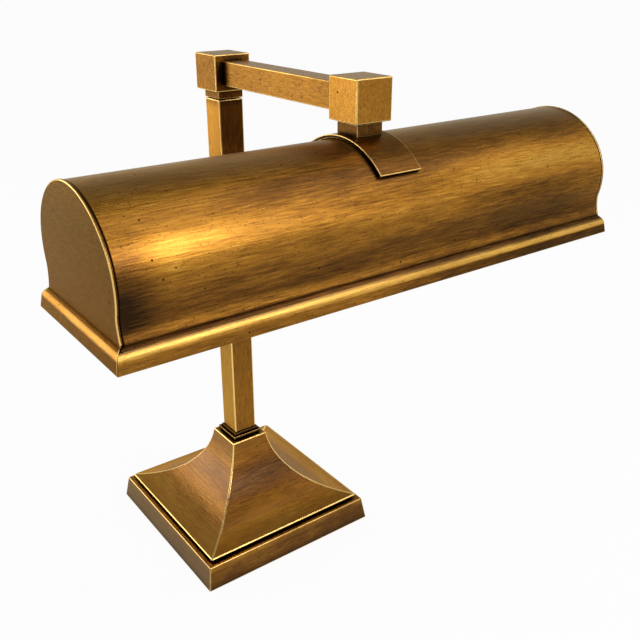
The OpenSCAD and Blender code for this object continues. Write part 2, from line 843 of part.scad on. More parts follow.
module lampholder_bracket() {
  color(STEEL) at_tilt() difference() {
    for (side = [0, 1]) mirror([side, 0, 0]) half_bracket();
    translate([-leg_x / 2, 0, 0]) rotate([0, 90, 0]) cylinder(d = holder_nipple_d + 2 * fit_gap, h = leg_x);
    down_hole(switch_neck_d + 2 * fit_gap, web_rise - past, web_rise + bracket_t + past);
  }
}

// A lampholder standing on z = 0 with its mouth up
module lampholder() {
  difference() {
    union() {
      cylinder(d = holder_neck_d, h = holder_len);
      translate([0, 0, holder_neck_len]) cylinder(d = holder_d, h = holder_len - holder_neck_len);
      translate([0, 0, holder_len - ring_len]) cylinder(d = holder_ring_d, h = ring_len);
    }
    down_hole(holder_nipple_d + 2 * fit_gap, -past, holder_len);
    down_hole(bulb_cap_d + 2 * cap_gap, holder_len - holder_bore_len, holder_len + past);
  }
}

module left_lampholder() {
  color(BLACK) on_lamp_axis(-1, holder_x) lampholder();
}

module right_lampholder() {
  color(BLACK) on_lamp_axis(1, holder_x) lampholder();
}

module lampholder_nipples() {
  len = holder_x + holder_neck_len - nipple_in_x;
  color(STEEL) for (side = [-1, 1]) on_lamp_axis(side, nipple_in_x) ring(holder_nipple_d, stud_bore, len);
}

module lampholder_nuts() {
  color(STEEL) for (side = [-1, 1]) on_lamp_axis(side, tab_x - holder_nut_h)
    hex_nut(lock_nut_af, holder_nipple_d + 2 * fit_gap, holder_nut_h);
}

// Half section of a bulb's glass from its neck at z = 0, drawn in by a wall
module bulb_section(wall) {
  r = bulb_d / 2 - wall;
  straight = bulb_len - bulb_d / 2;
  polygon([[0, -wall], [bulb_cap_d / 2 - wall, -wall], [bulb_cap_d / 2 - wall, 0], [r, bulb_shoulder],
           [r, straight], [0, straight]]);
  translate([0, straight]) intersection() {
    circle(r = r);
    square(bulb_d);
  }
}

module bulb_glass() {
  rotate_extrude() difference() {
    bulb_section(0);
    bulb_section(glass_t);
  }
}

module left_bulb() {
  color(GLASS) on_lamp_axis(-1, glass_x) bulb_glass();
}

module right_bulb() {
  color(GLASS) on_lamp_axis(1, glass_x) bulb_glass();
}

// A bulb's cap standing on its contact at z = 0
module bulb_cap() {
  contact_d = 5;
  contact_h = 3;
  cylinder(d = contact_d, h = bulb_cap_len / 2);
  translate([0, 0, contact_h]) cylinder(d = bulb_cap_d, h = bulb_cap_len - contact_h);
}

module left_bulb_cap() {
  color(STEEL) on_lamp_axis(-1, cap_start_x) bulb_cap();
}

module right_bulb_cap() {
  color(STEEL) on_lamp_axis(1, cap_start_x) bulb_cap();
}

module switch_body() {
  color(BLACK) at_shade() difference() {
    union() {
      down_hole(switch_d, switch_z, tilt_z + web_rise);
      down_hole(switch_neck_d, switch_z, tilt_z + web_rise + bracket_t + switch_nut_h);
    }
    down_hole(spindle_d + 2 * run_gap, switch_z - past, switch_z + spindle_grip + fit_gap);
  }
}

module switch_nut() {
  color(STEEL) at_shade() translate([0, 0, tilt_z + web_rise + bracket_t])
    hex_nut(lock_nut_af, switch_neck_d + 2 * fit_gap, switch_nut_h);
}

module switch_spindle() {
  color(STEEL) at_shade() down_hole(spindle_d, knob_z + knob_h - spindle_grip, switch_z + spindle_grip);
}

module switch_knob() {
  flute_d = PI * knob_d / knob_flutes / 2;
  color(BLACK) at_shade() translate([0, 0, knob_z]) difference() {
    union() {
      cylinder(d1 = knob_d - 2 * knob_ease, d2 = knob_d, h = knob_ease);
      translate([0, 0, knob_ease]) cylinder(d = knob_d, h = knob_h - knob_ease);
    }
    for (i = [0:knob_flutes - 1]) rotate([0, 0, i * 360 / knob_flutes])
      translate([knob_d / 2, 0, -past]) cylinder(d = flute_d, h = knob_h - knob_skirt + past, $fn = 24);
    down_hole(spindle_d + 2 * fit_gap, knob_h - spindle_grip - fit_gap, knob_h + past);
  }
}

felt_pad();
plinth();
base_weight();
clamp_washer();
clamp_nut();
base_nipple();
cord_bushing();
pagoda_cover();
collar();
post_tube();
post_foot_plug();
post_top_bush();
swing_stop_pin();
swing_glide();
post_flex();
rear_neck();
rear_block();
swing_stud();
swing_spring_washer();
swing_lock_nut();
arm_tube();
arm_flex();
grub_screws();
front_block();
shade_stud();
shade_spring_washer();
shade_lock_nut();
shade_glide();
front_neck();
saddle_strap();
clamp_plate();
shade_shell();
left_end_cap();
right_end_cap();
lampholder_bracket();
left_lampholder();
right_lampholder();
lampholder_nipples();
lampholder_nuts();
left_bulb();
right_bulb();
left_bulb_cap();
right_bulb_cap();
switch_body();
switch_nut();
switch_spindle();
switch_knob();
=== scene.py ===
"""Looks of a swing-arm bankers lamp in antique brass."""

import json
import math

import bmesh
import bpy
from mathutils import Matrix, Vector


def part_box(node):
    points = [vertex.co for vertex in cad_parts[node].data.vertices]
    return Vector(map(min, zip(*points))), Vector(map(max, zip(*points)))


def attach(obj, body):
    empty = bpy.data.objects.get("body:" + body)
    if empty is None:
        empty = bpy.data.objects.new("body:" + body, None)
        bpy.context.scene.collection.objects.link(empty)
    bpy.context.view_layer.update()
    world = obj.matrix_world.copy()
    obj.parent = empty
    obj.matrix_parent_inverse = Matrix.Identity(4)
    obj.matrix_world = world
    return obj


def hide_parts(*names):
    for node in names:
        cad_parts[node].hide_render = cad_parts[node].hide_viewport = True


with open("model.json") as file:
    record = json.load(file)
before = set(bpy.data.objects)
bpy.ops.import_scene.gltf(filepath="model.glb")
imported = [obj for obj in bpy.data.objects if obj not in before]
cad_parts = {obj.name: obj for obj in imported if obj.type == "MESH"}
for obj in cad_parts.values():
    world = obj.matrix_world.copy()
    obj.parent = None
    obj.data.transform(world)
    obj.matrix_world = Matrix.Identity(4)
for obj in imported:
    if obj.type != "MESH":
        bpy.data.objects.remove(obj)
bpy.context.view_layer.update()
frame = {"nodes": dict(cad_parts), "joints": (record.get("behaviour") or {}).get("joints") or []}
scene = bpy.context.scene
MM = 0.001


def node_box(node):
    """A CAD node's lowest and highest corners, in millimetres."""
    low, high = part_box(node)
    return low / MM, high / MM


def joint_place(name):
    """Where a joint turns, in millimetres."""
    return Vector(next(joint["pos_m"] for joint in frame["joints"] if joint["name"] == name)) / MM


def steepness(way):
    """How steeply a way lies, in degrees."""
    return math.degrees(math.atan2(abs(way.y), abs(way.x)))


# Sizes of the shade in millimetres, about its tilt axis: y to the rear, z up
TILT = joint_place("shade_tilt")
CROWN_R = 47.0
SIDE_R = 36.0
REVERSE_R = 9.0
COVE_R = 33.5
CROWN_END = Vector((0.8, 0.6))
SIDE_END = Vector((0.96, -0.28))
COVE_END = Vector((-0.936, -0.352))
SIDE_C = (CROWN_R - SIDE_R) * CROWN_END
REVERSE_C = SIDE_C + (SIDE_R + REVERSE_R) * SIDE_END
COVE_C = REVERSE_C + Vector((COVE_R - REVERSE_R, 0))
CREASE = COVE_C + COVE_R * COVE_END
TOP_DEG = steepness(CROWN_END)
REVERSE_DEG = steepness(SIDE_END)
COVE_DEG = steepness(COVE_END)
COVE_STEPS = 8
REVERSE_STEPS = 6
SIDE_STEPS = 20
CROWN_STEPS = 48
RIM_FLARE = 3.2
RIM_BAND_H = 8.4
RIM_LEAN = 1.3
SHEET_T = 1.5
CAP_T = 1.5
CAP_X = node_box("right_end_cap")[1].x - RIM_FLARE - RIM_LEAN
CAP_LIP = 0.5
SEAM = 0.2
SLOT_HALF_W = 4.6
SLOT_HALF_DEG = 24.1

# Sizes of the saddle and the base in millimetres
STRAP_IN_R = 47.4
STRAP_T = 2.2
STRAP_DEG = 47.0
STRAP_STEPS = 40
PLINTH_TOP_W = 146.0
DECK_Z = 20.2
PAGODA_LOW, PAGODA_HIGH = node_box("pagoda_cover")
PAGODA_TOP_W = 31.5
FOOT_EDGE_H = 1.6
PAGODA_R = 62.5
PAGODA_STEPS = 32
RISER_W = 133.0
RISER_SINK = 1.0

# The collar's three squares: width, bottom and top over its foot in millimetres, and wear of the edges
COLLAR_SQUARES = ((23.0, 0.0, 3.4, 0.1), (25.5, 1.8, 3.4, 0.6), (21.5, 1.8, 5.4, 0.1))

# Widths of rounded edges and of the strips along seams, in millimetres, and the steps of the widest one
RIM_SHOULDER_R = 2.0
RIM_SHOULDER_STEPS = 8
RIM_LIP_EDGE = 0.5
CAP_EDGE = 0.6
CAP_BACK_EDGE = 0.3
STRAP_EDGE = 0.4
NECK_EDGE = 0.4
BLOCK_EDGE = 0.7
POST_EDGE = 0.9
PAGODA_EDGE = 1.1
PLINTH_EDGE = 0.8
COLLAR_EDGE = 0.3
SEAM_STRIP_W = 0.8
MITRE_STRIP_W = 0.6

# Tolerances of the mesh tools in metres
MERGE_DIST = 1e-6
CUT_DIST = 1e-7
HAIR = 1e-5

X_AXIS = Vector((1, 0, 0))
Y_AXIS = Vector((0, 1, 0))
Z_AXIS = Vector((0, 0, 1))
WEAR = "wear"


# Material helpers

# The Mix node's sockets for colours: factor, first and second colour, and result
MIX_INPUTS = (0, 6, 7)
MIX_OUTPUT = 2


class Shader:
    """A material's node tree, with short calls for its nodes."""

    def __init__(self, name):
        self.material = bpy.data.materials.new(name)
        self.material.use_nodes = True
        self.tree = self.material.node_tree
        self.tree.nodes.clear()
        self.coords = self.add("ShaderNodeTexCoord").outputs["Object"]

    def add(self, kind, inputs=(), **props):
        made = self.tree.nodes.new(kind)
        for key, value in props.items():
            setattr(made, key, value)
        for key, value in dict(inputs).items():
            self.put(made.inputs[key], value)
        return made

    def put(self, socket, value):
        if isinstance(value, bpy.types.NodeSocket):
            self.tree.links.new(value, socket)
        else:
            socket.default_value = value

    def math(self, op, a, b=0.0, clamp=False):
        return self.add("ShaderNodeMath", {0: a, 1: b}, operation=op, use_clamp=clamp).outputs[0]

    def plus(self, a, b):
        return self.math("ADD", a, b)

    def minus(self, a, b):
        return self.math("SUBTRACT", a, b)

    def times(self, a, b):
        return self.math("MULTIPLY", a, b)

    def span(self, value, low, high, to_low=0.0, to_high=1.0):
        """Maps a value from one range to another, smoothly and without overshoot."""
        made = self.add("ShaderNodeMapRange", {
            "Value": value, "From Min": low, "From Max": high, "To Min": to_low, "To Max": to_high},
            interpolation_type="SMOOTHSTEP")
        return made.outputs["Result"]

    def mix(self, fac, a, b, blend="MIX"):
        made = self.add("ShaderNodeMix", data_type="RGBA", blend_type=blend)
        for index, value in zip(MIX_INPUTS, (fac, a, b)):
            self.put(made.inputs[index], value)
        return made.outputs[MIX_OUTPUT]

    def place(self):
        """The place on the piece, as its x, y and z."""
        return self.split(self.add("ShaderNodeTexCoord").outputs["Object"])

    def split(self, vector):
        return self.add("ShaderNodeSeparateXYZ", {0: vector}).outputs

    def moved(self, scale, place):
        """The piece's coordinates, scaled and then moved."""
        made = self.add("ShaderNodeMapping", {"Vector": self.coords, "Scale": scale, "Location": place})
        return made.outputs["Vector"]

    def noise(self, vector, scale, detail=3.0, rough=0.55):
        made = self.add("ShaderNodeTexNoise", {"Vector": vector, "Scale": scale, "Detail": detail,
                                               "Roughness": rough})
        return made.outputs["Fac"]

    def finish(self, inputs, height, depth):
        """Closes the tree with one principled shader, and a relief whose depth is in metres."""
        bump = self.add("ShaderNodeBump", {"Strength": 1.0, "Distance": depth, "Height": height})
        shade = self.add("ShaderNodeBsdfPrincipled", {**inputs, "Normal": bump.outputs["Normal"]})
        out = self.add("ShaderNodeOutputMaterial")
        self.tree.links.new(shade.outputs[0], out.inputs["Surface"])
        return self.material


def linear(value):
    """An eight-bit display value as linear light."""
    share = value / 255
    return share / 12.92 if value <= 10 else ((share + 0.055) / 1.055) ** 2.4


def rgb(*values):
    """A colour written as eight-bit display values."""
    return tuple(linear(v) for v in values) + (1.0,)


GOLD = rgb(214, 164, 70)
TAN = rgb(164, 112, 38)
BROWN = rgb(108, 69, 24)
UMBER = rgb(46, 29, 12)
# Near black: for soot, dark seams and pits, and for painted shade in the recesses and between pieces
SOOT_AND_SHADE = rgb(14, 9, 4)
CREAM = rgb(255, 212, 128)
# The colour of the painted grey sheen
SHEEN_GREY = rgb(120, 102, 83)
EDGE_TINT = rgb(244, 228, 198)
WARM_TINT = rgb(255, 245, 224)
RED_TINT = rgb(255, 238, 218)

# The brass's colours by level, from dark patina to bare metal
PATINA = ((0.05, UMBER), (0.33, BROWN), (0.6, TAN), (0.95, GOLD))

# The lacquer, and the depth of the brush marks in metres
COAT_IOR = 1.5
COAT_ROUGH = 0.22
RELIEF = 0.00013


def between(s, value, low, high, soft):
    """One inside a range and nought outside it, with soft ends."""
    rise = s.span(value, low - soft, low + soft)
    fall = s.span(value, high - soft, high + soft, 1.0, 0.0)
    return s.times(rise, fall)


def summed(s, parts):
    """The sum of some fields, each with its own weight."""
    total = 0.0
    for field, weight in parts:
        total = s.plus(total, s.times(field, weight))
    return total


def grain_noises(s, grain, place):
    """Noises along the grain, from fine to broad: hairlines, streaks, blotches and clouds."""
    broad = [max(0.5, min(1.0, g / 400)) for g in grain]
    hair = s.noise(s.moved(grain, place=place), 1.0, 3.0, 0.65)
    streak = s.noise(s.moved([0.4 * g for g in grain], place=place), 1.0, 3.0, 0.6)
    blotch = s.noise(s.moved(broad, place=place), 34.0, 4.0, 0.6)
    cloud = s.noise(s.moved(broad, place=place), 12.0, 2.0, 0.5)
    return hair, streak, blotch, cloud


def scratched(s, level, grain, seed, scratch):
    """A level with fine bright and dark scratches along the grain."""
    line = s.noise(s.moved([0.8 * g for g in grain], place=[seed + 5] * 3), 1.0, 2.0, 0.6)
    level = s.plus(level, s.span(line, 0.34, 0.46, scratch, 0.0))
    return s.minus(level, s.span(line, 0.54, 0.66, 0.0, scratch))


def patina(s, level):
    """The brass's colour at a level."""
    ramp = s.add("ShaderNodeValToRGB", {"Fac": level})
    stops = ramp.color_ramp.elements
    stops[0].position, stops[0].color = PATINA[0]
    stops[1].position, stops[1].color = PATINA[-1]
    for position, colour in PATINA[1:-1]:
        stop = stops.new(position)
        stop.color = colour
    return ramp.outputs["Color"]


def shade_and_dust_in_recesses(s, colour):
    """A colour darkened in the recesses and where pieces meet: painted shade, with dark patina in the
    recesses.
    """
    for reach, low, high in ((0.012, 0.35, 0.92), (0.003, 0.4, 0.75)):
        openness = s.add("ShaderNodeAmbientOcclusion", {"Distance": reach}, samples=8).outputs["AO"]
        colour = s.mix(s.span(openness, low, high, 1.0, 0.0), colour, SOOT_AND_SHADE)
    return colour


def specked(s, colour, grain, place, specks):
    """A colour with fine dark specks."""
    fine = [max(600, min(1050, 1.1 * g)) for g in grain]
    speck = s.span(s.noise(s.moved(fine, place=place), 1.0, 1.0, 0.5), 0.64, 0.71)
    return s.mix(s.times(speck, specks), colour, UMBER)


def pits(s, place):
    """Sparse pits in the lacquer, large and small: one in a pit and nought beside it."""
    pit = 0.0
    for count, empty, reach in ((75.0, 0.35, 0.06), (160.0, 0.5, 0.1)):
        cell = s.add("ShaderNodeTexVoronoi", {"Vector": s.moved((1, 1, 1), place=place), "Scale": count})
        chance = s.add("ShaderNodeSeparateColor", {0: cell.outputs["Color"]}).outputs[0]
        lone = s.math("GREATER_THAN", chance, empty)
        spot = s.times(s.span(cell.outputs["Distance"], 0.5 * reach, reach, 1.0, 0.0), lone)
        pit = s.math("MAXIMUM", pit, spot)
    return pit


def antique_brass(name, grain, tone=0.5, band=None, seed=0.0, brush=0.5, mottle=0.4, specks=0.0, coat=0.05,
                  sides=0.0, grey_sheen=(0.0, 0.0, 0.0), wrap=None, scratch=0.07, tint=None):
    """Brushed brass with brown patina: grain is the streaks' count per metre along x, y and z.

    Sides paints light on the faces across x, making them lighter than those across y. The grey sheen is a
    painted grey reflection all over, on top and on the faces across x, by its three weights. Wrap lays the
    grain along a piece that isn't straight, and tint warms its colour. Band adds lighter and darker bands by
    place.
    """
    s = Shader(name)
    if wrap is not None:
        s.coords = wrap(s)
    place = (seed, 2 * seed, 3 * seed)
    hair, streak, blotch, cloud = grain_noises(s, grain, place)
    level = tone
    for field, share in ((hair, brush), (streak, 0.12 * brush), (blotch, mottle), (cloud, 0.8 * mottle)):
        level = s.plus(level, s.times(s.minus(field, 0.5), share))
    level = scratched(s, level, grain, seed, scratch)
    # Bands by place: painted light and shade, and patina
    if band is not None:
        level = s.plus(level, band(s, s.place()))
    facing = s.split(s.add("ShaderNodeTexCoord").outputs["Normal"])
    across, along = (s.math("ABSOLUTE", facing[axis]) for axis in "XY")
    # Painted light: faces across x lighter than those across y
    if sides:
        level = s.plus(level, s.times(s.minus(across, along), sides))
    colour = patina(s, level)
    if tint is not None:
        colour = s.mix(1.0, colour, tint, "MULTIPLY")
    # A painted grey sheen: all over, on top and on the faces across x
    if any(grey_sheen):
        all_over, on_top, on_sides = grey_sheen
        painted_sheen = summed(s, ((s.span(facing["Z"], 0.86, 1.0), on_top), (across, on_sides), (1.0, all_over)))
        patchy = s.span(blotch, 0.3, 0.6, 0.75, 1.0)
        colour = s.mix(s.math("MULTIPLY", painted_sheen, patchy, clamp=True), colour, SHEEN_GREY)
    colour = specked(s, shade_and_dust_in_recesses(s, colour), grain, place, specks)
    pit = pits(s, place)
    colour = s.mix(s.times(pit, 0.9), colour, SOOT_AND_SHADE)
    # Bright rubbed edges, and black ones: dark seams, and painted shade on the strap's narrow faces
    worn = s.add("ShaderNodeAttribute", attribute_name=WEAR).outputs["Fac"]
    rub = s.times(s.math("MAXIMUM", worn, 0.0), s.span(blotch, 0.3, 0.55, 0.45, 1.0))
    colour = s.mix(rub, colour, CREAM)
    dirt_and_shade = s.times(s.math("MINIMUM", worn, 0.0), -1.0)
    colour = s.mix(dirt_and_shade, colour, SOOT_AND_SHADE)
    rough = s.times(s.plus(hair, streak), 0.18)
    rough = s.plus(rough, s.minus(0.17, s.times(rub, 0.1)))
    height = s.minus(s.plus(streak, s.times(hair, 0.8)), s.times(pit, 1.5))
    return s.finish({"Base Color": colour, "Metallic": 1.0, "Roughness": rough, "Specular Tint": EDGE_TINT,
                     "Coat Weight": coat, "Coat IOR": COAT_IOR, "Coat Roughness": COAT_ROUGH}, height, RELIEF)


def plain_finish(name, colour, dark, metallic, rough, scale, depth):
    """A plain finish with a fine grain: zinc, iron, moulded plastic, rubber or felt."""
    s = Shader(name)
    grain = s.noise(s.coords, scale, 4.0, 0.6)
    cloud = s.noise(s.coords, 40.0, 3.0, 0.5)
    both = s.plus(s.times(grain, 0.5), s.times(cloud, 0.5))
    shade = s.mix(s.span(both, 0.3, 0.7), dark, colour)
    roughness = s.span(grain, 0.2, 0.8, rough - 0.08, rough + 0.08)
    return s.finish({"Base Color": shade, "Metallic": metallic, "Roughness": roughness}, grain, depth)


def frosted_glass(name):
    """Bulb glass with a fine inner frosting."""
    s = Shader(name)
    grain = s.noise(s.coords, 2200.0, 2.0, 0.5)
    colour = s.mix(s.span(s.noise(s.coords, 60.0), 0.3, 0.7), rgb(246, 240, 228), rgb(232, 226, 214))
    return s.finish({"Base Color": colour, "Roughness": s.span(grain, 0.2, 0.8, 0.32, 0.5),
                     "Transmission Weight": 0.35, "IOR": 1.45, "Subsurface Weight": 0.2}, grain, 0.00002)


# Bands of painted light and shade, and of lighter and darker patina: heights and places in metres, and
# weights in steps of level

def over_tilt(s, place):
    """The height over the shade's tilt axis."""
    return s.minus(place["Z"], TILT.z * MM)


def shell_band(s, place):
    """Painted light and shade on the shade: painted highlights along its side and on the rim's shoulder,
    painted shade on its crown, middle and foot, a smoky patina low down, and darker ends.
    """
    x = place["X"]
    up = over_tilt(s, place)
    # Painted light and shade on the crown and the upper side
    crown = s.span(up, 0.032, 0.040)
    crown_left = s.times(crown, s.span(x, -0.12, 0.0, 1.0, 0.0))
    crown_right = s.times(crown, s.span(x, 0.0, 0.08))
    middle = s.times(between(s, up, 0.020, 0.040, 0.004), between(s, x, -0.11, 0.03, 0.03))
    upper = s.times(between(s, up, 0.032, 0.041, 0.004), between(s, x, -0.11, 0.09, 0.03))
    # Painted highlights along the side
    side = between(s, up, 0.019, 0.031, 0.006)
    lit_right = s.times(side, s.span(x, -0.01, 0.12))
    lit_left = s.times(between(s, up, 0.004, 0.029, 0.006), s.span(x, -0.14, -0.07, 1.0, 0.0))
    # Painted shade low down, and a smoky patina
    foot = s.span(up, -0.012, 0.012, 1.0, 0.0)
    smoke = s.minus(s.noise(s.moved((7, 70, 70), place=(9, 4, 2)), 1.0, 3.0), 0.5)
    smoke = s.times(smoke, between(s, up, -0.014, 0.022, 0.008))
    # The rim: a lighter cove, painted shade on the slope, a painted highlight on the shoulder, and painted
    # light on the band
    cove = between(s, up, -0.0165, -0.012, 0.002)
    slope = between(s, up, -0.0200, -0.0170, 0.0007)
    shoulder = s.times(between(s, up, -0.0238, -0.0205, 0.0007), s.span(x, -0.06, 0.1, 0.85, 1.4))
    band = s.times(s.span(up, -0.0245, -0.0225, 1.0, 0.0), s.span(x, -0.05, 0.08, 1.0, -0.6))
    # Darker at both ends
    left_end = s.times(s.span(x, -0.167, -0.140, 1.0, 0.0), between(s, up, -0.014, 0.027, 0.010))
    right_end = s.times(between(s, x, 0.06, 0.15, 0.03), between(s, up, -0.010, 0.010, 0.010))
    return summed(s, (
        (crown_left, 0.12), (crown_right, -0.15), (middle, -0.14), (upper, -0.1), (side, 0.03),
        (lit_right, 0.26), (lit_left, 0.17), (foot, -0.18), (smoke, 0.7), (cove, 0.15), (slope, -0.1),
        (shoulder, 0.46), (band, 0.18), (left_end, -0.4), (right_end, -0.2)))


def cap_band(s, place):
    """Painted light on the end caps: lighter low down, and a painted highlight on the rim's shoulder."""
    up = over_tilt(s, place)
    low = s.span(up, -0.012, 0.035, 1.0, 0.0)
    shoulder = between(s, up, -0.0222, -0.0200, 0.0007)
    return summed(s, ((low, 0.12), (shoulder, 0.26)))


def pagoda_wrap(s):
    """Lines that run level round the pagoda: its third way goes down the slope."""
    place = s.place()
    out = s.math("MAXIMUM", s.math("ABSOLUTE", place["X"]), s.math("ABSOLUTE", place["Y"]))
    down = s.minus(place["Z"], out)
    return s.add("ShaderNodeCombineXYZ", {0: place["X"], 1: place["Y"], 2: down}).outputs[0]


def pagoda_band(s, place):
    """Painted shade half way up the pagoda, and painted light at its foot."""
    up = s.minus(place["Z"], PAGODA_LOW.z * MM)
    foot = s.span(up, 0.003, 0.009, 1.0, 0.0)
    low = between(s, up, 0.006, 0.013, 0.004)
    middle = between(s, up, 0.018, 0.035, 0.006)
    neck = s.span(up, 0.036, 0.046)
    return summed(s, ((foot, 0.28), (low, 0.07), (middle, -0.22), (neck, 0.05)))


def plinth_band(s, place):
    """Gold under the plinth's top edge, and brown at its foot."""
    top = s.span(place["Z"], DECK_Z * MM - 0.007, DECK_Z * MM)
    foot = s.span(place["Z"], 0.0, 0.010, 1.0, 0.0)
    return summed(s, ((top, 0.2), (foot, -0.12)))


def arm_band(s, place):
    """Painted shade at the arm's ends, where it goes into its blocks."""
    along = place["Y"]
    rear = s.span(along, -0.021, -0.0135)
    front = s.span(along, -0.1375, -0.131, 1.0, 0.0)
    return summed(s, ((rear, -0.4), (front, -0.25)))


def post_band(s, place):
    """Painted shade at the post's top, under its swivel, and painted light at its foot."""
    top = s.span(place["Z"], 0.343, 0.349)
    foot = s.span(place["Z"], 0.10, 0.22, 1.0, 0.0)
    return summed(s, ((top, -0.2), (foot, 0.2)))


# Finishes

SHELL_BRASS = antique_brass("shell_brass", (80, 1250, 1250), 0.48, shell_band, brush=0.56, mottle=0.32,
                            specks=0.5, coat=0.06, grey_sheen=(0.0, 0.45, 0.0))
CAP_BRASS = antique_brass("cap_brass", (1000, 190, 1000), 0.18, cap_band, seed=0.3, brush=0.38, mottle=0.1,
                          specks=0.3, coat=0.0, scratch=0.05, tint=RED_TINT)
POST_BRASS = antique_brass("post_brass", (1200, 1200, 160), 0.46, post_band, seed=0.7, brush=0.28,
                           mottle=0.18, coat=0.04, sides=0.14)
ARM_BRASS = antique_brass("arm_brass", (1300, 220, 1300), 0.42, arm_band, seed=1.1, brush=0.22, mottle=0.12,
                          specks=0.5, grey_sheen=(0.0, 0.5, 0.0))
BLOCK_BRASS = antique_brass("block_brass", (1000, 1000, 500), 0.56, seed=1.7, brush=0.26, mottle=0.2,
                            specks=0.35, grey_sheen=(0.0, 0.7, 0.0))
# The rear block's brass, darker than the front block's: a shaded copy, with its shade painted in
REAR_BLOCK_SHADED_BRASS = antique_brass("rear_block_shaded_brass", (1000, 1000, 500), 0.39, seed=5.3, brush=0.26,
                                 mottle=0.2, specks=0.35, grey_sheen=(0.0, 0.45, 0.0))
STRAP_BRASS = antique_brass("strap_brass", (120, 1100, 1100), 0.28, seed=2.3, brush=0.4, mottle=0.2)
NECK_BRASS = antique_brass("neck_brass", (900, 900, 400), 0.34, seed=2.9, brush=0.4, mottle=0.25)
PAGODA_BRASS = antique_brass("pagoda_brass", (90, 90, 800), 0.45, pagoda_band, seed=3.1, brush=0.4,
                             mottle=0.4, specks=0.15, coat=0.1, sides=0.09, grey_sheen=(0.04, 0.0, 0.35),
                             wrap=pagoda_wrap, scratch=0.05, tint=WARM_TINT)
PLINTH_BRASS = antique_brass("plinth_brass", (110, 110, 800), 0.35, plinth_band, seed=3.7, brush=0.4,
                             mottle=0.5, specks=0.15, coat=0.09, grey_sheen=(0.05, 0.0, 0.7))
COLLAR_BRASS = antique_brass("collar_brass", (300, 300, 300), 0.2, seed=4.3, brush=0.3)
ZINC = plain_finish("zinc", rgb(186, 186, 182), rgb(148, 148, 146),
                    metallic=1.0, rough=0.34, scale=900.0, depth=0.00002)
IRON = plain_finish("iron", rgb(66, 64, 62), rgb(34, 33, 32),
                    metallic=0.8, rough=0.7, scale=500.0, depth=0.0002)
BAKELITE = plain_finish("bakelite", rgb(30, 28, 27), rgb(18, 17, 16),
                        metallic=0.0, rough=0.34, scale=1200.0, depth=0.00002)
RUBBER = plain_finish("rubber", rgb(28, 27, 26), rgb(18, 18, 18),
                      metallic=0.0, rough=0.6, scale=900.0, depth=0.00003)
NYLON = plain_finish("nylon", rgb(34, 31, 28), rgb(22, 20, 18),
                     metallic=0.0, rough=0.45, scale=700.0, depth=0.00002)
FELT = plain_finish("felt", rgb(50, 66, 52), rgb(30, 42, 32),
                    metallic=0.0, rough=0.92, scale=1600.0, depth=0.0003)
GLASS = frosted_glass("bulb_glass")


# Mesh helpers

def started():
    """A new bmesh with its wear layer."""
    bm = bmesh.new()
    bm.faces.layers.float.new(WEAR)
    return bm


def rub_edges(bm, edges, width, segments=3, wear=1.0):
    """Rounds edges and marks the rounding as rubbed bright."""
    layer = bm.faces.layers.float[WEAR]
    made = bmesh.ops.bevel(bm, geom=list(edges), offset=width * MM, offset_type="OFFSET", segments=segments,
                           profile=0.5, affect="EDGES", clamp_overlap=True, material=-1)
    for face in made["faces"]:
        face[layer] = wear


def hard_edges(bm, degrees=35):
    """Edges where two faces meet at more than an angle."""
    limit = math.radians(degrees)
    return [e for e in bm.edges if len(e.link_faces) == 2 and e.calc_face_angle(0) > limit]


def placed(bm, name, finish, body, slot, *nodes):
    """Turns a bmesh into a piece that rides on a body and stands for CAD nodes."""
    bmesh.ops.remove_doubles(bm, verts=bm.verts, dist=MERGE_DIST)
    mesh = bpy.data.meshes.new(name)
    bm.to_mesh(mesh)
    bm.free()
    mesh.polygons.foreach_set("use_smooth", [True] * len(mesh.polygons))
    mesh.materials.append(finish)
    piece = bpy.data.objects.new(name, mesh)
    scene.collection.objects.link(piece)
    weighted = piece.modifiers.new("flat_faces", "WEIGHTED_NORMAL")
    weighted.weight = 60
    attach(piece, body)
    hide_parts(*nodes)


def boxed(bm, low, high):
    """A box between two corners, in millimetres."""
    low, high = Vector(low), Vector(high)
    made = bmesh.ops.create_cube(bm, size=1.0)["verts"]
    bmesh.ops.scale(bm, vec=(high - low) * MM, verts=made)
    bmesh.ops.translate(bm, vec=(low + high) / 2 * MM, verts=made)
    return made


def bar_piece(node, finish, body, slot, ease, wear=1.0):
    """A square bar or block with rubbed edges, in a CAD node's place."""
    bm = started()
    boxed(bm, *node_box(node))
    rub_edges(bm, bm.edges, ease, wear=wear)
    placed(bm, node + "_piece", finish, body, slot, node)


# The shade

def at_tilt(x, y, z):
    """A place about the tilt axis, given in millimetres."""
    return (Vector((x, y, z)) + TILT) * MM


def mirrored(centre):
    """A centre in the shade's section, on its other side."""
    return Vector((-centre[0], centre[1]))


CREASE_LEVEL = at_tilt(0, *CREASE).z


def turned_on(bm, vert, centre, degrees, steps):
    """Carries a line on from a vertex round a centre in the shade's section, and returns its far end."""
    made = bmesh.ops.spin(bm, geom=[vert], cent=at_tilt(vert.co.x / MM, *centre), axis=X_AXIS, dvec=(0, 0, 0),
                          angle=math.radians(degrees), steps=steps, use_merge=False, use_duplicate=False)
    return next(g for g in made["geom_last"] if isinstance(g, bmesh.types.BMVert))


def ogee_line(bm, x, lip):
    """The shade's outline from crease to crease at x, grown by a lip; returns its two ends."""
    foot = COVE_C + (COVE_R - lip) * COVE_END
    front = ((COVE_C, -COVE_DEG, COVE_STEPS), (REVERSE_C, -REVERSE_DEG, REVERSE_STEPS),
             (SIDE_C, TOP_DEG + REVERSE_DEG, SIDE_STEPS))
    crown = ((0, 0), 180 - 2 * TOP_DEG, CROWN_STEPS)
    rear = [(mirrored(centre), degrees, steps) for centre, degrees, steps in reversed(front)]
    start = vert = bm.verts.new(at_tilt(x, *foot))
    for centre, degrees, steps in (*front, crown, *rear):
        vert = turned_on(bm, vert, centre, degrees, steps)
    return start, vert


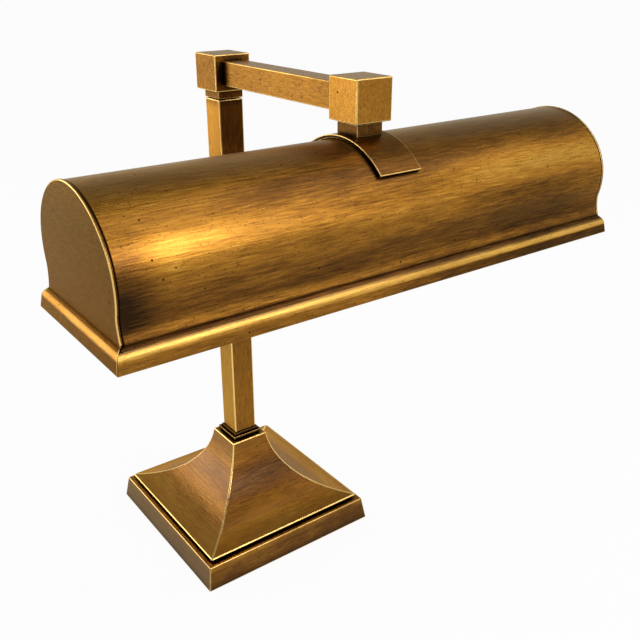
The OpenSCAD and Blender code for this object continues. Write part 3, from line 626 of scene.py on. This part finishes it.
def rim_bar(bm, half_len, crease_y, thick, root):
    """One mitred length of rim along x at +y; root is where its inside starts, from the crease."""
    slant = math.atan2(RIM_LEAN, RIM_BAND_H)
    shoulder = Vector((crease_y + RIM_FLARE, CREASE[1] - RIM_FLARE))
    lip = shoulder + Vector((RIM_LEAN, -RIM_BAND_H))
    inner = Vector((-1, -1)).normalized() + Vector((-math.cos(slant), -math.sin(slant)))
    inner *= thick / (1 + (math.cos(slant) + math.sin(slant)) / math.sqrt(2))
    points = [Vector((crease_y, CREASE[1])), shoulder, lip, lip - Vector((thick / math.cos(slant), 0)),
              shoulder + inner, Vector((crease_y, CREASE[1])) + Vector(root)]
    ring = [bm.verts.new(at_tilt(0, *p)) for p in points]
    face = bm.faces.new(ring)
    made = bmesh.ops.extrude_face_region(bm, geom=[face])
    far = [g for g in made["geom"] if isinstance(g, bmesh.types.BMVert)]
    crease = (crease_y + TILT.y) * MM
    for side, verts in ((-1, ring), (1, far)):
        for v in verts:
            v.co.x = side * (half_len * MM + v.co.y - crease)
    along = [next(e for e in v.link_edges if e.other_vert(v) in far) for v in ring[1:3]]
    return ring + far, along


def ease_rim(bm, along):
    """Rounds the rim's shoulder, and eases its lip less."""
    shoulder, lip = along
    rub_edges(bm, [shoulder], RIM_SHOULDER_R, RIM_SHOULDER_STEPS, wear=0.15)
    rub_edges(bm, [lip], RIM_LIP_EDGE, wear=0.1)


def seam_strip(bm, place, outward, width, wear, chosen):
    """Marks a strip of the chosen faces, along a seam at a plane, as rubbed or dirty."""
    layer = bm.faces.layers.float[WEAR]
    cut = Vector(place) - Vector(outward).normalized() * width * MM
    faces = [f for f in bm.faces if chosen(f.calc_center_median())]
    edges = {e for f in faces for e in f.edges}
    verts = {v for f in faces for v in f.verts}
    bmesh.ops.bisect_plane(bm, geom=[*verts, *edges, *faces], dist=CUT_DIST, plane_co=cut, plane_no=outward)
    for face in bm.faces:
        middle = face.calc_center_median()
        if chosen(middle) and (middle - cut).dot(Vector(outward)) > 0:
            face[layer] = wear


def mitre_strips(bm, half_len, half_depth, wear, inward):
    """Marks the four mitred ends of the rim."""
    foot = CREASE_LEVEL - HAIR
    for x in (-1, 1):
        for y in (-1, 1):
            outward = Vector((-x, y, 0) if inward else (x, -y, 0))

            def near(c):
                return c.z < foot and c.x * x > 0 and (c.y - TILT.y * MM) * y > 0

            seam_strip(bm, at_tilt(x * half_len, y * half_depth, 0), outward, MITRE_STRIP_W, wear, near)


def cut_slot(bm):
    """Cuts the slot for the shade's stud through the crown."""
    for side in (-1, 1):
        lean = math.radians(side * SLOT_HALF_DEG)
        for origin, normal in ((at_tilt(side * SLOT_HALF_W, 0, 0), X_AXIS),
                               (TILT * MM, Vector((0, math.cos(lean), math.sin(lean))))):
            bmesh.ops.bisect_plane(bm, geom=bm.verts[:] + bm.edges[:] + bm.faces[:], dist=CUT_DIST,
                                   plane_co=origin, plane_no=normal)
    slot = []
    for face in bm.faces:
        middle = face.calc_center_median() / MM - TILT
        lean = math.degrees(math.atan2(middle.y, middle.z))
        if abs(middle.x) < SLOT_HALF_W and abs(lean) < SLOT_HALF_DEG:
            slot.append(face)
    bmesh.ops.delete(bm, geom=slot, context="FACES")


def shade_shell():
    """The ogee sheet with its slot and the two long lengths of rim."""
    bm = started()
    half = CAP_X - CAP_T - SEAM
    ogee_line(bm, -half, 0)
    made = bmesh.ops.extrude_edge_only(bm, edges=bm.edges[:])
    far = [g for g in made["geom"] if isinstance(g, bmesh.types.BMVert)]
    bmesh.ops.translate(bm, vec=(2 * half * MM, 0, 0), verts=far)
    cut_slot(bm)
    bmesh.ops.recalc_face_normals(bm, faces=bm.faces)
    top = max(bm.faces, key=lambda f: f.calc_center_median().z)
    if top.normal.z < 0:
        bmesh.ops.reverse_faces(bm, faces=bm.faces)
    bmesh.ops.solidify(bm, geom=bm.faces[:], thickness=SHEET_T * MM)
    for side in (1, -1):
        verts, along = rim_bar(bm, CAP_X - SEAM, CREASE[0], SHEET_T, SHEET_T * COVE_END)
        if side < 0:
            bmesh.ops.scale(bm, vec=(1, -1, 1), verts=verts, space=Matrix.Translation(-TILT * MM))
        ease_rim(bm, along)
    # A dark seam at the left end, and at the right end a bright strip: rubbed wear with a painted highlight
    for side, wear in ((-1, -0.6), (1, 0.7)):
        seam_strip(bm, at_tilt(side * half, 0, 0), side * X_AXIS, SEAM_STRIP_W, wear,
                   lambda c: c.z > CREASE_LEVEL)
    mitre_strips(bm, CAP_X - SEAM, CREASE[0], wear=-0.9, inward=False)
    bmesh.ops.recalc_face_normals(bm, faces=bm.faces)
    placed(bm, "shade_shell_piece", SHELL_BRASS, "shade", "antique_brass", "shade_shell")


def end_cap(name, side, wear, back_wear):
    """A flat end with a lip and its own length of rim; the wear is of its outer and inner edges."""
    bm = started()
    start, end = ogee_line(bm, CAP_X - CAP_T, CAP_LIP)
    for v in (start, end):
        v.co.z = CREASE_LEVEL
    bm.edges.new((start, end))
    plate = bmesh.ops.contextual_create(bm, geom=bm.edges[:])["faces"]
    made = bmesh.ops.extrude_face_region(bm, geom=plate)
    far = [g for g in made["geom"] if isinstance(g, bmesh.types.BMVert)]
    bmesh.ops.translate(bm, vec=(CAP_T * MM, 0, 0), verts=far)
    bmesh.ops.recalc_face_normals(bm, faces=bm.faces)
    floor = CREASE_LEVEL + HAIR
    outline = [e for e in hard_edges(bm) if max(v.co.z for v in e.verts) > floor]
    face = [e for e in outline if e.verts[0].co.x > (CAP_X - CAP_T / 2) * MM]
    rub_edges(bm, face, CAP_EDGE, wear=wear)
    rub_edges(bm, set(outline) - set(face), CAP_BACK_EDGE, wear=back_wear)
    verts, along = rim_bar(bm, CREASE[0], CAP_X, CAP_T, (-CAP_T, 0))
    bmesh.ops.rotate(bm, verts=verts, cent=TILT * MM, matrix=Matrix.Rotation(math.radians(-90), 3, "Z"))
    ease_rim(bm, along)
    mitre_strips(bm, CAP_X, CREASE[0], wear=0.9 * wear, inward=True)
    if side < 0:
        bmesh.ops.scale(bm, vec=(-1, 1, 1), verts=bm.verts)
    bmesh.ops.recalc_face_normals(bm, faces=bm.faces)
    placed(bm, name + "_piece", CAP_BRASS, "shade", "antique_brass", name)


shade_shell()
end_cap("left_end_cap", side=-1, wear=0.9, back_wear=-0.3)
# The right cap's edges are bright all round: rubbed wear with a painted highlight
end_cap("right_end_cap", side=1, wear=0.7, back_wear=0.8)


# The saddle

def saddle_strap():
    """The curved strap over the crown."""
    bm = started()
    half = node_box("saddle_strap")[1].x
    low, high = STRAP_IN_R, STRAP_IN_R + STRAP_T
    section = ((-half, low), (half, low), (half, high), (-half, high))
    ring = [bm.verts.new(at_tilt(x, 0, z)) for x, z in section]
    end = bm.faces.new(ring)
    bmesh.ops.rotate(bm, verts=ring, cent=TILT * MM, matrix=Matrix.Rotation(math.radians(-STRAP_DEG), 3, "X"))
    bmesh.ops.spin(bm, geom=[end] + list(end.edges) + ring, cent=TILT * MM, axis=X_AXIS, dvec=(0, 0, 0),
                   angle=math.radians(2 * STRAP_DEG), steps=STRAP_STEPS, use_merge=False, use_duplicate=False)
    bmesh.ops.recalc_face_normals(bm, faces=bm.faces)
    rub_edges(bm, hard_edges(bm), STRAP_EDGE)
    # Painted shade on the strap's narrow faces
    layer = bm.faces.layers.float[WEAR]
    for face in bm.faces:
        out = face.calc_center_median() - TILT * MM
        out.x = 0
        if not face[layer] and abs(face.normal.dot(out.normalized())) < 0.5:
            face[layer] = -0.85
    placed(bm, "saddle_strap_piece", STRAP_BRASS, "saddle", "antique_brass", "saddle_strap")


saddle_strap()
bar_piece("front_neck", NECK_BRASS, "saddle", "dark_brass", NECK_EDGE, wear=0.5)

# The arm and the post
bar_piece("front_block", BLOCK_BRASS, "arm", "antique_brass", BLOCK_EDGE, wear=0.85)
bar_piece("rear_block", REAR_BLOCK_SHADED_BRASS, "arm", "antique_brass", BLOCK_EDGE, wear=0.85)
bar_piece("arm_tube", ARM_BRASS, "arm", "antique_brass", BLOCK_EDGE, wear=0.7)
bar_piece("rear_neck", NECK_BRASS, "arm", "dark_brass", NECK_EDGE, wear=0.4)
bar_piece("post_tube", POST_BRASS, "base", "antique_brass", POST_EDGE)


# The base

def pagoda_cover():
    """Four hollowed slopes that meet in curved hips."""
    bm = started()
    arc_foot = Vector((PAGODA_HIGH.x, 0, PAGODA_LOW.z + FOOT_EDGE_H))
    arc_top = Vector((PAGODA_TOP_W / 2, 0, PAGODA_HIGH.z))
    run = arc_foot.x - arc_top.x
    rise = arc_top.z - arc_foot.z
    chord = math.hypot(run, rise)
    sink = math.sqrt(PAGODA_R ** 2 - (chord / 2) ** 2)
    centre = (arc_foot + arc_top) / 2 + Vector((rise, 0, run)) * (sink / chord)
    sweep = 2 * math.degrees(math.asin(chord / 2 / PAGODA_R))
    low = bm.verts.new(Vector((PAGODA_HIGH.x, 0, PAGODA_LOW.z)) * MM)
    foot = bm.verts.new(arc_foot * MM)
    bm.edges.new((low, foot))
    bmesh.ops.spin(bm, geom=[foot], cent=centre * MM, axis=Y_AXIS, dvec=(0, 0, 0),
                   angle=math.radians(sweep), steps=PAGODA_STEPS, use_merge=False, use_duplicate=False)
    bmesh.ops.scale(bm, vec=(math.sqrt(2), 1, 1), verts=bm.verts)
    bmesh.ops.spin(bm, geom=bm.verts[:] + bm.edges[:], cent=(0, 0, 0), axis=Z_AXIS, dvec=(0, 0, 0),
                   angle=math.tau, steps=4, use_merge=True, use_duplicate=False)
    bmesh.ops.rotate(bm, verts=bm.verts, cent=(0, 0, 0), matrix=Matrix.Rotation(math.radians(45), 3, "Z"))
    bmesh.ops.remove_doubles(bm, verts=bm.verts, dist=MERGE_DIST)
    bmesh.ops.holes_fill(bm, edges=[e for e in bm.edges if e.is_boundary], sides=4)
    bmesh.ops.recalc_face_normals(bm, faces=bm.faces)
    # A hip's edges have both ends over the same corner
    hips = [e for e in bm.edges if min(a * b for a, b in zip(e.verts[0].co, e.verts[1].co)) > 0]
    rub_edges(bm, set(hips + hard_edges(bm, 25)), PAGODA_EDGE, wear=1.5)
    placed(bm, "pagoda_cover_piece", PAGODA_BRASS, "base", "antique_brass", "pagoda_cover")


def plinth():
    """The sloping plinth, and the riser that makes the dark groove under the pagoda."""
    bm = started()
    low, high = node_box("plinth")
    made = boxed(bm, low, (high.x, high.y, DECK_Z))
    deck = [v for v in made if v.co.z > (low.z + DECK_Z) / 2 * MM]
    narrower = PLINTH_TOP_W / (high.x - low.x)
    bmesh.ops.scale(bm, vec=(narrower, narrower, 1), verts=deck)
    rub_edges(bm, bm.edges, PLINTH_EDGE, wear=0.55)
    riser = RISER_W / 2
    boxed(bm, (-riser, -riser, DECK_Z - RISER_SINK), (riser, riser, high.z))
    placed(bm, "plinth_piece", PLINTH_BRASS, "base", "dark_brass", "plinth")


def collar():
    """The stepped collar at the post's foot."""
    bm = started()
    foot = node_box("collar")[0].z
    for width, low, high, wear in COLLAR_SQUARES:
        half = width / 2
        made = boxed(bm, (-half, -half, foot + low), (half, half, foot + high))
        edges = {e for v in made for e in v.link_edges}
        rub_edges(bm, edges, COLLAR_EDGE, wear=wear)
    placed(bm, "collar_piece", COLLAR_BRASS, "base", "dark_brass", "collar")


pagoda_cover()
plinth()
collar()

# Finishes of the CAD nodes that stay
KEPT = {
    ZINC: ("clamp_washer", "clamp_nut", "base_nipple", "post_foot_plug", "post_top_bush", "swing_stop_pin",
           "swing_stud", "swing_spring_washer", "swing_lock_nut", "grub_screws", "shade_stud",
           "shade_spring_washer", "shade_lock_nut", "clamp_plate", "lampholder_bracket", "lampholder_nipples",
           "lampholder_nuts", "left_bulb_cap", "right_bulb_cap", "switch_nut", "switch_spindle"),
    IRON: ("base_weight",),
    BAKELITE: ("cord_bushing", "left_lampholder", "right_lampholder", "switch_body", "switch_knob"),
    RUBBER: ("post_flex", "arm_flex"),
    NYLON: ("swing_glide", "shade_glide"),
    FELT: ("felt_pad",),
    GLASS: ("left_bulb", "right_bulb"),
}
for finish, nodes in KEPT.items():
    for node in nodes:
        mesh = frame["nodes"][node].data
        mesh.materials.clear()
        mesh.materials.append(finish)


# Stage, light and camera

WHITE = (1, 1, 1, 1)
DIM = (0.3, 0.3, 0.3, 1)
PAPER = (0.82, 0.82, 0.82, 1)
FLOOR_REACH = 30.0
CAMERA_SENSOR = 36.0
CAMERA_LENS = 45.09
CAMERA_PLACE = (-0.28768, -0.50156, 0.43610)
CAMERA_AIM = (0.54274, 0.73374, -0.40873)
NEAREST = 0.01


def backdrop():
    """The world: a white horizon under a dim ceiling."""
    world = bpy.data.worlds.new("studio")
    scene.world = world
    world.use_nodes = True
    tree = world.node_tree
    tree.nodes.clear()
    link = tree.links.new
    coords = tree.nodes.new("ShaderNodeTexCoord")
    split = tree.nodes.new("ShaderNodeSeparateXYZ")
    link(coords.outputs["Generated"], split.inputs[0])
    ramp = tree.nodes.new("ShaderNodeValToRGB")
    link(split.outputs["Z"], ramp.inputs["Fac"])
    stops = ramp.color_ramp.elements
    stops[0].position, stops[0].color = 0.12, WHITE
    stops[1].position, stops[1].color = 0.7, DIM
    room = tree.nodes.new("ShaderNodeBackground")
    link(ramp.outputs["Color"], room.inputs["Color"])
    out = tree.nodes.new("ShaderNodeOutputWorld")
    link(room.outputs[0], out.inputs["Surface"])


def studio_floor():
    """A white floor that glows to the camera, and half as much in the brass."""
    bm = bmesh.new()
    bmesh.ops.create_grid(bm, x_segments=1, y_segments=1, size=FLOOR_REACH)
    mesh = bpy.data.meshes.new("floor")
    bm.to_mesh(mesh)
    bm.free()
    s = Shader("floor_white")
    path = s.add("ShaderNodeLightPath")
    paper = s.add("ShaderNodeBsdfDiffuse", {"Color": PAPER})
    glow = s.add("ShaderNodeEmission", {"Color": WHITE, "Strength": 1.0})
    in_brass = s.math("MAXIMUM", path.outputs["Is Glossy Ray"], path.outputs["Is Transmission Ray"])
    to_camera = s.times(path.outputs["Is Camera Ray"], 0.95)
    share = s.math("MAXIMUM", to_camera, s.times(in_brass, 0.5))
    both = s.add("ShaderNodeMixShader", {"Fac": share, 1: paper.outputs[0], 2: glow.outputs[0]})
    out = s.add("ShaderNodeOutputMaterial")
    s.tree.links.new(both.outputs[0], out.inputs["Surface"])
    mesh.materials.append(s.material)
    floor = bpy.data.objects.new("floor", mesh)
    scene.collection.objects.link(floor)


def soft_lamp(name, place, aim, size, power):
    """A square lamp, with its places and size in metres and its power in watts."""
    data = bpy.data.lights.new(name, "AREA")
    data.size = size
    data.energy = power
    lamp = bpy.data.objects.new(name, data)
    lamp.location = place
    lamp.rotation_euler = (Vector(aim) - Vector(place)).to_track_quat("-Z", "Y").to_euler()
    scene.collection.objects.link(lamp)


def photo_camera():
    """The camera, where the photograph was taken from."""
    data = bpy.data.cameras.new("camera")
    data.sensor_width = CAMERA_SENSOR
    data.lens = CAMERA_LENS
    data.clip_start = NEAREST
    camera = bpy.data.objects.new("camera", data)
    camera.location = CAMERA_PLACE
    camera.rotation_euler = Vector(CAMERA_AIM).to_track_quat("-Z", "Y").to_euler()
    scene.collection.objects.link(camera)
    scene.camera = camera


backdrop()
studio_floor()
soft_lamp("left_softbox", (-1.05, 1.1, 0.45), (0, -0.1, 0.25), size=1.0, power=8)
soft_lamp("right_softbox", (0.65, -0.6, 1.45), (0, -0.15, 0.3), size=0.9, power=5.5)
soft_lamp("front_softbox", (0.35, -1.25, 0.95), (0, -0.15, 0.3), size=0.6, power=7)
photo_camera()
scene.view_settings.view_transform = "Standard"
